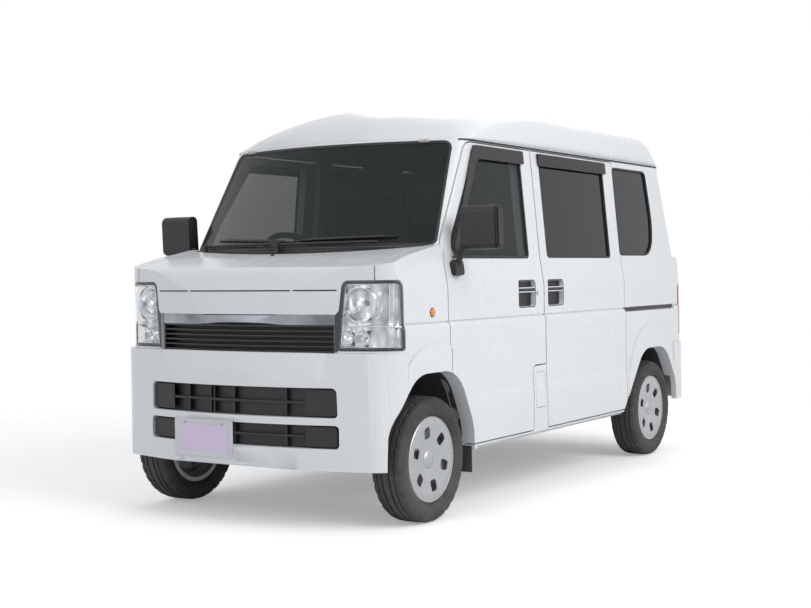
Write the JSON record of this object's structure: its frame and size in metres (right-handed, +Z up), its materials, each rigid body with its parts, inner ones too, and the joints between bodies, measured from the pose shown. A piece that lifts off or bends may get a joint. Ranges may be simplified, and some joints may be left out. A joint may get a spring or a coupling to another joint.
{
  "type": "kei van",
  "caption": "Small tall-roofed delivery and passenger van with hinged front doors, bonnet and tailgate, steered front wheels and a rigid driven rear axle.",
  "frame": {"origin": "on the ground, under the middle of the overall length and width", "axes": "+X forward, +Y to the van's left, +Z up"},
  "size_m": [3.395, 1.88, 1.875],
  "materials": {
    "body_paint": "gloss",
    "underbody_paint": "matt",
    "cast_metal": "rough",
    "bare_steel": "dull",
    "wheel_silver": "satin",
    "bright_trim": "polished",
    "tyre_rubber": "matt",
    "flap_rubber": "matt",
    "black_plastic": "grained",
    "bumper_plastic": "painted gloss",
    "dash_plastic": "grained",
    "smoked_plastic": "smoked gloss",
    "clear_glass": "tinted clear",
    "privacy_glass": "dark",
    "lamp_lens": "clear moulded",
    "tail_lens": "red moulded",
    "seat_cloth": "woven"
  },
  "bodies": {
    "body": {"bright_bar": "bright_trim", "bumper_grille": "black_plastic", "chassis_frame": "underbody_paint", "cowl": "black_plastic", "dashboard": "dash_plastic", "drivetrain": "cast_metal", "exhaust": "bare_steel", "floor": "underbody_paint", "front_bumper": "bumper_plastic", "front_seats": "seat_cloth", "front_suspension": "underbody_paint", "fuel_tank": "underbody_paint", "grille": "black_plastic", "grille_panel": "body_paint", "headlamps": "lamp_lens", "load_board": "dash_plastic", "mud_flaps": "flap_rubber", "radiator": "bare_steel", "rear_axle": "cast_metal", "rear_bumper": "bumper_plastic", "rear_seat": "seat_cloth", "roof": "body_paint", "side_glass": "privacy_glass", "side_left": "body_paint", "side_right": "body_paint", "side_trim": "smoked_plastic", "sliding_door_left": "body_paint", "sliding_door_right": "body_paint", "tail_frame": "body_paint", "tail_lamps": "tail_lens", "windscreen": "clear_glass", "windscreen_header": "body_paint", "wipers": "black_plastic"},
    "bonnet": {"bonnet": "body_paint"},
    "front_door_left": {"front_door_left": "body_paint", "front_door_glass_left": "clear_glass", "door_trim_left": "black_plastic"},
    "front_door_right": {"front_door_right": "body_paint", "front_door_glass_right": "clear_glass", "door_trim_right": "black_plastic"},
    "tailgate": {"tailgate": "body_paint", "tailgate_glass": "privacy_glass"},
    "steering_wheel": {"steering_wheel": "dash_plastic"},
    "knuckle_left": {"knuckle_left": "cast_metal"},
    "knuckle_right": {"knuckle_right": "cast_metal"},
    "wheel_fl": {"tyre_fl": "tyre_rubber", "wheel_fl": "wheel_silver"},
    "wheel_fr": {"tyre_fr": "tyre_rubber", "wheel_fr": "wheel_silver"},
    "wheel_rl": {"tyre_rl": "tyre_rubber", "wheel_rl": "wheel_silver"},
    "wheel_rr": {"tyre_rr": "tyre_rubber", "wheel_rr": "wheel_silver"}
  },
  "joints": [
    {"name": "bonnet_hinge", "type": "hinge", "parent": "body", "child": "bonnet", "pos_m": [1.215, 0, 1.182], "axis": [0, -1, 0], "range_deg": [0, 45]},
    {"name": "front_door_left_hinge", "type": "hinge", "parent": "body", "child": "front_door_left", "pos_m": [1.1245, 0.7395, 0.8], "axis": [0, 0, -1], "range_deg": [0, 68]},
    {"name": "front_door_right_hinge", "type": "hinge", "parent": "body", "child": "front_door_right", "pos_m": [1.1245, -0.7395, 0.8], "axis": [0, 0, 1], "range_deg": [0, 68]},
    {"name": "tailgate_hinge", "type": "hinge", "parent": "body", "child": "tailgate", "pos_m": [-1.499, 0, 1.634], "axis": [0, 1, 0], "range_deg": [0, 85]},
    {"name": "steer_left", "type": "hinge", "parent": "body", "child": "knuckle_left", "pos_m": [1.2475, 0.59, 0.19], "axis": [0, -0.206, 0.9785], "range_deg": [-34, 34]},
    {"name": "steer_right", "type": "hinge", "parent": "body", "child": "knuckle_right", "pos_m": [1.2475, -0.59, 0.19], "axis": [0, 0.206, 0.9785], "range_deg": [-34, 34]},
    {"name": "steering_wheel_turn", "type": "hinge", "parent": "body", "child": "steering_wheel", "pos_m": [0.77, -0.33, 1.105], "axis": [-0.7431, 0, 0.6691], "range_deg": [-612, 612]},
    {"name": "wheel_fl_spin", "type": "hinge", "parent": "knuckle_left", "child": "wheel_fl", "pos_m": [1.2475, 0.64, 0.266], "axis": [0, 1, 0], "continuous": true},
    {"name": "wheel_fr_spin", "type": "hinge", "parent": "knuckle_right", "child": "wheel_fr", "pos_m": [1.2475, -0.64, 0.266], "axis": [0, 1, 0], "continuous": true},
    {"name": "wheel_rl_spin", "type": "hinge", "parent": "body", "child": "wheel_rl", "pos_m": [-1.1525, 0.64, 0.266], "axis": [0, 1, 0], "continuous": true},
    {"name": "wheel_rr_spin", "type": "hinge", "parent": "body", "child": "wheel_rr", "pos_m": [-1.1525, -0.64, 0.266], "axis": [0, 1, 0], "continuous": true}
  ],
  "couplings": [
    {"joint": "steer_right", "follows": "steer_left", "ratio": 1},
    {"joint": "steering_wheel_turn", "follows": "steer_left", "ratio": 18}
  ]
}
